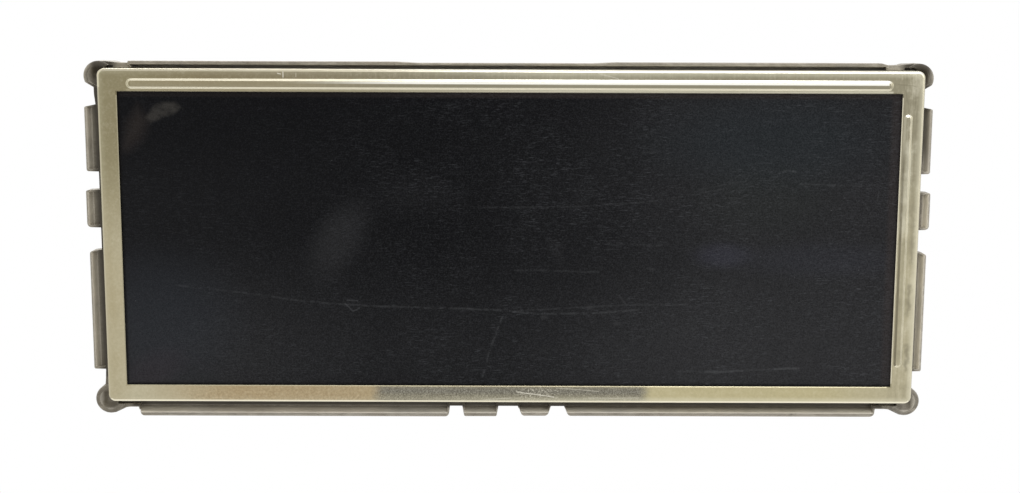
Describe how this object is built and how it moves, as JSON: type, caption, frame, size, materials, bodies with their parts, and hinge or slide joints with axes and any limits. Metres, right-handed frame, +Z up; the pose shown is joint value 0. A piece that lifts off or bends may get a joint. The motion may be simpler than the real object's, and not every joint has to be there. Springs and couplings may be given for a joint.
{
  "type": "car display screen",
  "caption": "Liquid crystal car display module in a pressed metal bezel, on a finned die-cast carrier with tapped corner lobes and rear sockets.",
  "frame": {"origin": "centre of the rectangle of four tapped corner holes, in the plane of the lobes' rear faces", "axes": "+X to the right as seen from the front, +Z up, the screen faces -Y and the corner holes open to +Y"},
  "size_m": [0.2334, 0.0285, 0.0996],
  "materials": {
    "bezel_plate": "pressed sheet steel with a warm plated finish, worn and scratched",
    "foam": "matt black foam",
    "screen_film": "dark polarizing film, scratched",
    "cell_glass": "thin coated glass",
    "silicon": "bare silicon",
    "flex_film": "amber film with copper traces",
    "black_plastic": "moulded, finely grained",
    "optical_film": "clear ribbed film",
    "white_film": "matt white film",
    "clear_plastic": "clear moulded acrylic",
    "white_board": "white solder mask",
    "led_body": "yellow phosphor in a white body",
    "tray_metal": "pressed sheet, satin",
    "insulator_film": "black film",
    "green_board": "green solder mask",
    "chip_plastic": "moulded black",
    "socket_plastic": "natural moulded plastic",
    "ribbon_film": "white film over flat conductors",
    "ferrite": "grey moulded ferrite",
    "can_metal": "bright can",
    "ceramic_parts": "buff ceramic with tinned ends",
    "violet_plastic": "moulded violet plastic",
    "contact_metal": "tin or gold plated contact",
    "pad_rubber": "soft grey-blue pad",
    "cast_metal": "rough die-cast alloy, dull and stained",
    "screw_steel": "zinc plated steel"
  },
  "bodies": {
    "root": {"front_bezel": "bezel_plate", "front_gasket": "foam", "front_polarizer": "screen_film", "color_filter_glass": "cell_glass", "tft_glass": "cell_glass", "rear_polarizer": "screen_film", "driver_chips": "silicon", "panel_flexes": "flex_film", "panel_frame": "black_plastic", "prism_film_upper": "optical_film", "prism_film_lower": "optical_film", "diffuser_film": "white_film", "light_guide": "clear_plastic", "reflector_film": "white_film", "led_strip": "white_board", "leds": "led_body", "backlight_tray": "tray_metal", "board_insulator": "insulator_film", "source_board": "green_board", "timing_chip": "chip_plastic", "source_socket": "socket_plastic", "ribbon_cable": "ribbon_film", "backlight_flex": "flex_film", "ribbon_socket": "socket_plastic", "backlight_socket": "socket_plastic", "control_board": "green_board", "graphics_chip": "chip_plastic", "memory_chips": "chip_plastic", "power_chips": "chip_plastic", "coils": "ferrite", "capacitors": "can_metal", "small_components": "ceramic_parts", "video_connector": "violet_plastic", "video_contacts": "contact_metal", "power_connector": "black_plastic", "power_pins": "contact_metal", "thermal_pads": "pad_rubber", "housing": "cast_metal", "board_screws": "screw_steel", "module_screws": "screw_steel"}
  },
  "joints": []
}
